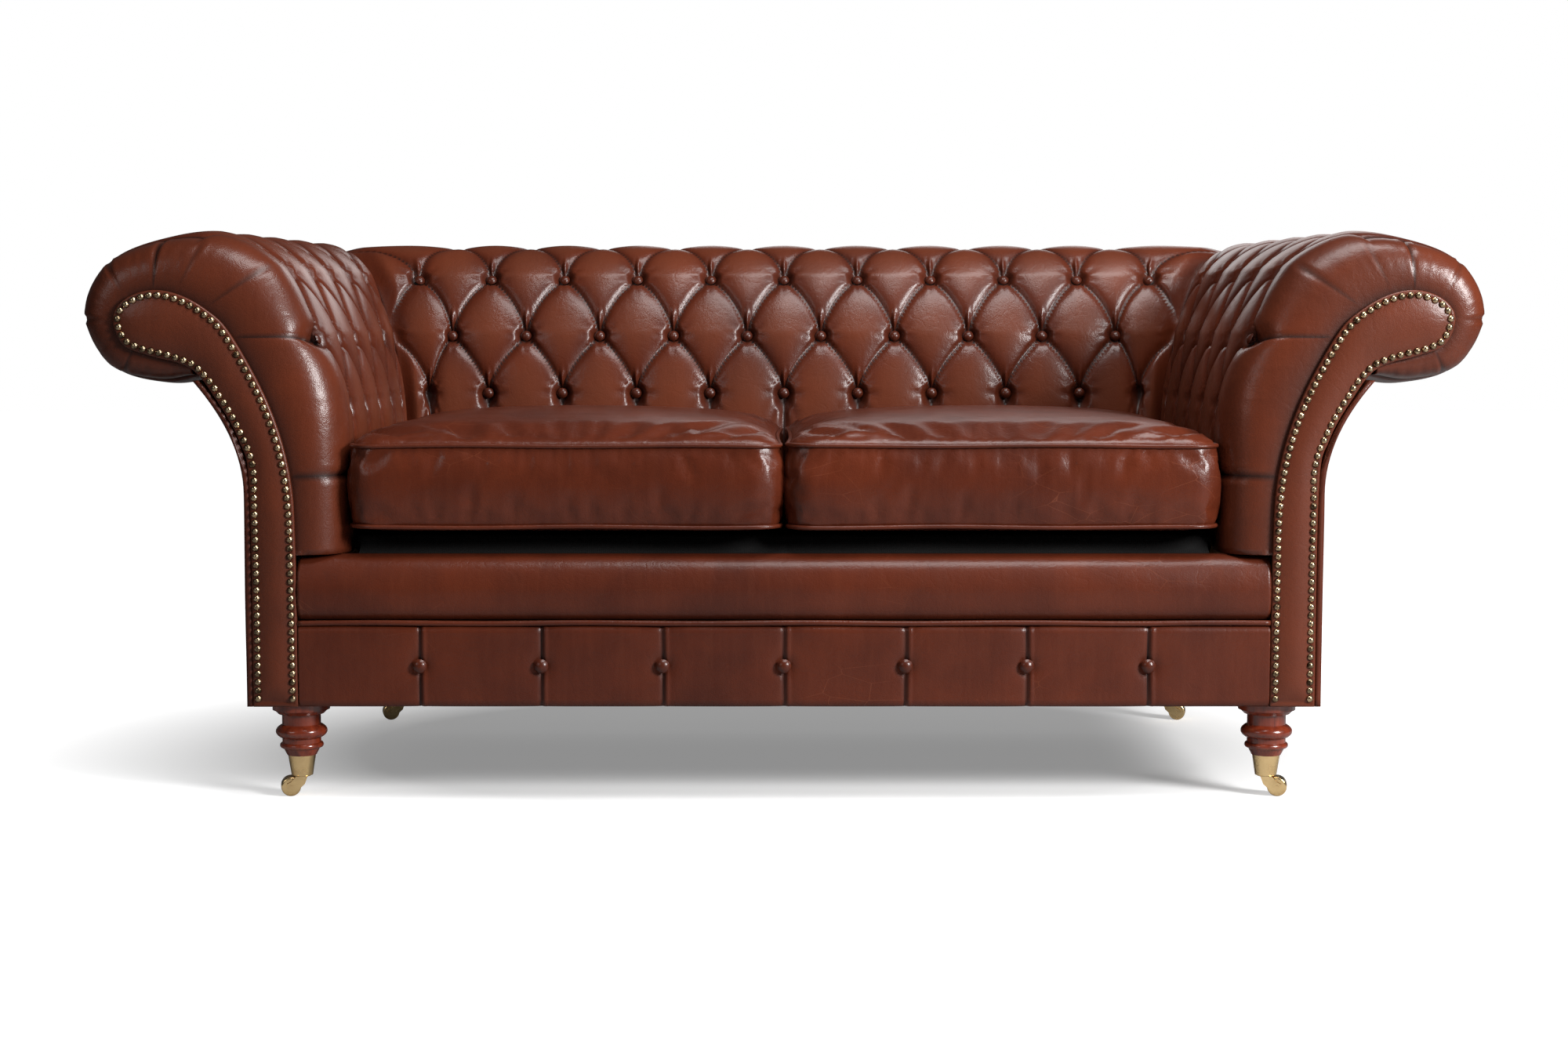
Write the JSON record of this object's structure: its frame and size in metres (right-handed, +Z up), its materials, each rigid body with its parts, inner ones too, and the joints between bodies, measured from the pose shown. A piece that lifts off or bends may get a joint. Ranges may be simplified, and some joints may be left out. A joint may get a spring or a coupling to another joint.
{
  "type": "chesterfield sofa",
  "caption": "Button-back leather sofa with scroll arms level with its back, loose seat cushions, nailed arm fronts, pleated front rail and turned legs on brass castors.",
  "frame": {"origin": "on the floor under the middle of the sofa's width and depth", "axes": "+X along the width to the right seen from the front, +Y from the front to the back, +Z up"},
  "size_m": [1.966, 0.9188, 0.7965],
  "materials": {
    "leather": "waxed, semi-gloss, hand-rubbed darker in the folds",
    "beech": "planed, unfinished",
    "mahogany": "turned and polished",
    "castor_brass": "cast and turned, lightly tarnished",
    "nail_brass": "antiqued, bright on the domes",
    "spring_steel": "oil-tempered wire",
    "hessian": "plain woven jute",
    "deck_cloth": "black cambric",
    "foam": "open-cell foam in a wrap"
  },
  "bodies": {
    "carcass": {"arm_buttons": "leather", "arm_facing_left": "leather", "arm_facing_right": "leather", "arm_front_board_left": "beech", "arm_front_board_right": "beech", "arm_rear_board_left": "beech", "arm_rear_board_right": "beech", "arm_tack_rail_left": "beech", "arm_tack_rail_right": "beech", "arm_top_rail_left": "beech", "arm_top_rail_right": "beech", "arm_upholstery_left": "leather", "arm_upholstery_right": "leather", "back_buttons": "leather", "back_posts": "beech", "back_tack_rail": "beech", "back_top_rail": "beech", "back_upholstery": "leather", "back_webbing": "hessian", "bottom_cloth": "deck_cloth", "castor_cups": "castor_brass", "corner_blocks": "beech", "facing_nails": "nail_brass", "front_lip": "leather", "front_rail_buttons": "leather", "front_rail_panel": "leather", "front_rail_piping": "leather", "leg_bolts": "spring_steel", "leg_front_left": "mahogany", "leg_front_right": "mahogany", "leg_rear_left": "mahogany", "leg_rear_right": "mahogany", "outside_arm_left": "leather", "outside_arm_right": "leather", "outside_back": "leather", "seat_back_rail": "beech", "seat_centre_stretcher": "beech", "seat_deck_pad": "deck_cloth", "seat_front_rail": "beech", "seat_hessian": "hessian", "seat_side_rail_left": "beech", "seat_side_rail_right": "beech", "seat_springs": "spring_steel", "spring_clips": "spring_steel"},
    "cushion_left": {"cushion_cover_left": "leather", "cushion_core_left": "foam"},
    "cushion_right": {"cushion_cover_right": "leather", "cushion_core_right": "foam"},
    "castor_swivel_front_left": {"castor_horn_front_left": "castor_brass", "castor_axle_front_left": "castor_brass"},
    "castor_roller_front_left": {"castor_wheel_front_left": "castor_brass"},
    "castor_swivel_front_right": {"castor_horn_front_right": "castor_brass", "castor_axle_front_right": "castor_brass"},
    "castor_roller_front_right": {"castor_wheel_front_right": "castor_brass"},
    "castor_swivel_rear_left": {"castor_horn_rear_left": "castor_brass", "castor_axle_rear_left": "castor_brass"},
    "castor_roller_rear_left": {"castor_wheel_rear_left": "castor_brass"},
    "castor_swivel_rear_right": {"castor_horn_rear_right": "castor_brass", "castor_axle_rear_right": "castor_brass"},
    "castor_roller_rear_right": {"castor_wheel_rear_right": "castor_brass"}
  },
  "joints": [
    {"name": "cushion_left_lift", "type": "slide", "parent": "carcass", "child": "cushion_left", "axis": [0, 0, 1], "range_m": [0, 0.3]},
    {"name": "cushion_right_lift", "type": "slide", "parent": "carcass", "child": "cushion_right", "axis": [0, 0, 1], "range_m": [0, 0.3]},
    {"name": "castor_front_left_swivel", "type": "hinge", "parent": "carcass", "child": "castor_swivel_front_left", "pos_m": [-0.682, -0.4042, 0.028], "axis": [0, 0, 1], "continuous": true},
    {"name": "castor_front_left_roll", "type": "hinge", "parent": "castor_swivel_front_left", "child": "castor_roller_front_left", "pos_m": [-0.69765, -0.40753, 0.01375], "axis": [-0.2079, 0.9781, 0], "continuous": true},
    {"name": "castor_front_right_swivel", "type": "hinge", "parent": "carcass", "child": "castor_swivel_front_right", "pos_m": [0.682, -0.4042, 0.028], "axis": [0, 0, 1], "continuous": true},
    {"name": "castor_front_right_roll", "type": "hinge", "parent": "castor_swivel_front_right", "child": "castor_roller_front_right", "pos_m": [0.69765, -0.40753, 0.01375], "axis": [-0.2079, -0.9781, 0], "continuous": true},
    {"name": "castor_rear_left_swivel", "type": "hinge", "parent": "carcass", "child": "castor_swivel_rear_left", "pos_m": [-0.648, 0.2718, 0.028], "axis": [0, 0, 1], "continuous": true},
    {"name": "castor_rear_left_roll", "type": "hinge", "parent": "castor_swivel_rear_left", "child": "castor_roller_rear_left", "pos_m": [-0.66365, 0.26847, 0.01375], "axis": [-0.2079, 0.9781, 0], "continuous": true},
    {"name": "castor_rear_right_swivel", "type": "hinge", "parent": "carcass", "child": "castor_swivel_rear_right", "pos_m": [0.648, 0.2718, 0.028], "axis": [0, 0, 1], "continuous": true},
    {"name": "castor_rear_right_roll", "type": "hinge", "parent": "castor_swivel_rear_right", "child": "castor_roller_rear_right", "pos_m": [0.66365, 0.26847, 0.01375], "axis": [-0.2079, -0.9781, 0], "continuous": true}
  ]
}
